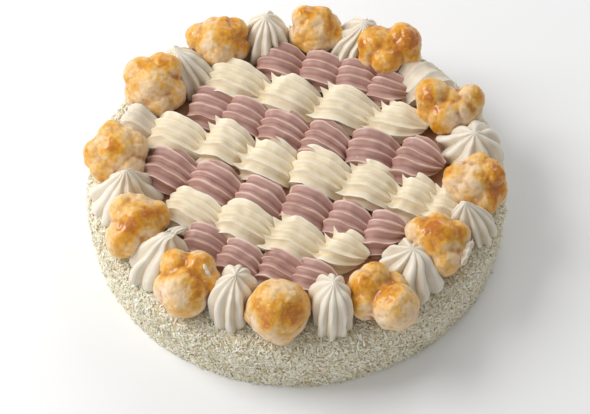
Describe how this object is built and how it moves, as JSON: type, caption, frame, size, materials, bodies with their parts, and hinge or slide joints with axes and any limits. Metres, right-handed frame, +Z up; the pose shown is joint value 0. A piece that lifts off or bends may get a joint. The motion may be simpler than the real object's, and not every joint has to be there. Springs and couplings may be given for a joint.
{
  "type": "saint-honore cake",
  "caption": "Round celebration cake: shred-coated side, diagonal rows of piped cream in two flavours on top, and a rim ring of glazed choux puffs with cream rosettes between them.",
  "frame": {"origin": "centre of the flat base", "axes": "+Z up through the cake's middle, -Y to the front"},
  "size_m": [0.2636, 0.2622, 0.0696],
  "materials": {
    "shred_coat": "ivory cream under fine pale shreds, dull",
    "glazed_choux": "baked dough, golden caramel glaze on the upper half",
    "whipped_cream": "white whipped cream, soft satin",
    "vanilla_cream": "pale ivory cream, soft satin",
    "mocha_cream": "mauve brown cream, soft satin"
  },
  "bodies": {
    "root": {"cake_body": "shred_coat", "puff_01": "glazed_choux", "puff_02": "glazed_choux", "puff_03": "glazed_choux", "puff_04": "glazed_choux", "puff_05": "glazed_choux", "puff_06": "glazed_choux", "puff_07": "glazed_choux", "puff_08": "glazed_choux", "puff_09": "glazed_choux", "puff_10": "glazed_choux", "puff_11": "glazed_choux", "puff_12": "glazed_choux", "rosette_01": "whipped_cream", "rosette_02": "whipped_cream", "rosette_03": "whipped_cream", "rosette_04": "whipped_cream", "rosette_05": "whipped_cream", "rosette_06": "whipped_cream", "rosette_07": "whipped_cream", "rosette_08": "whipped_cream", "rosette_09": "whipped_cream", "rosette_10": "whipped_cream", "rosette_11": "whipped_cream", "rosette_12": "whipped_cream", "dollop_1_1": "mocha_cream", "dollop_1_2": "mocha_cream", "dollop_1_3": "mocha_cream", "dollop_1_4": "mocha_cream", "dollop_2_1": "vanilla_cream", "dollop_2_2": "vanilla_cream", "dollop_2_3": "vanilla_cream", "dollop_2_4": "vanilla_cream", "dollop_3_1": "mocha_cream", "dollop_3_2": "mocha_cream", "dollop_3_3": "mocha_cream", "dollop_3_4": "mocha_cream", "dollop_3_5": "mocha_cream", "dollop_3_6": "mocha_cream", "dollop_4_1": "vanilla_cream", "dollop_4_2": "vanilla_cream", "dollop_4_3": "vanilla_cream", "dollop_4_4": "vanilla_cream", "dollop_4_5": "vanilla_cream", "dollop_4_6": "vanilla_cream", "dollop_4_7": "vanilla_cream", "dollop_5_1": "mocha_cream", "dollop_5_2": "mocha_cream", "dollop_5_3": "mocha_cream", "dollop_5_4": "mocha_cream", "dollop_5_5": "mocha_cream", "dollop_5_6": "mocha_cream", "dollop_6_1": "vanilla_cream", "dollop_6_2": "vanilla_cream", "dollop_6_3": "vanilla_cream", "dollop_6_4": "vanilla_cream", "dollop_7_1": "mocha_cream", "dollop_7_2": "mocha_cream", "dollop_7_3": "mocha_cream", "dollop_7_4": "mocha_cream"}
  },
  "joints": []
}
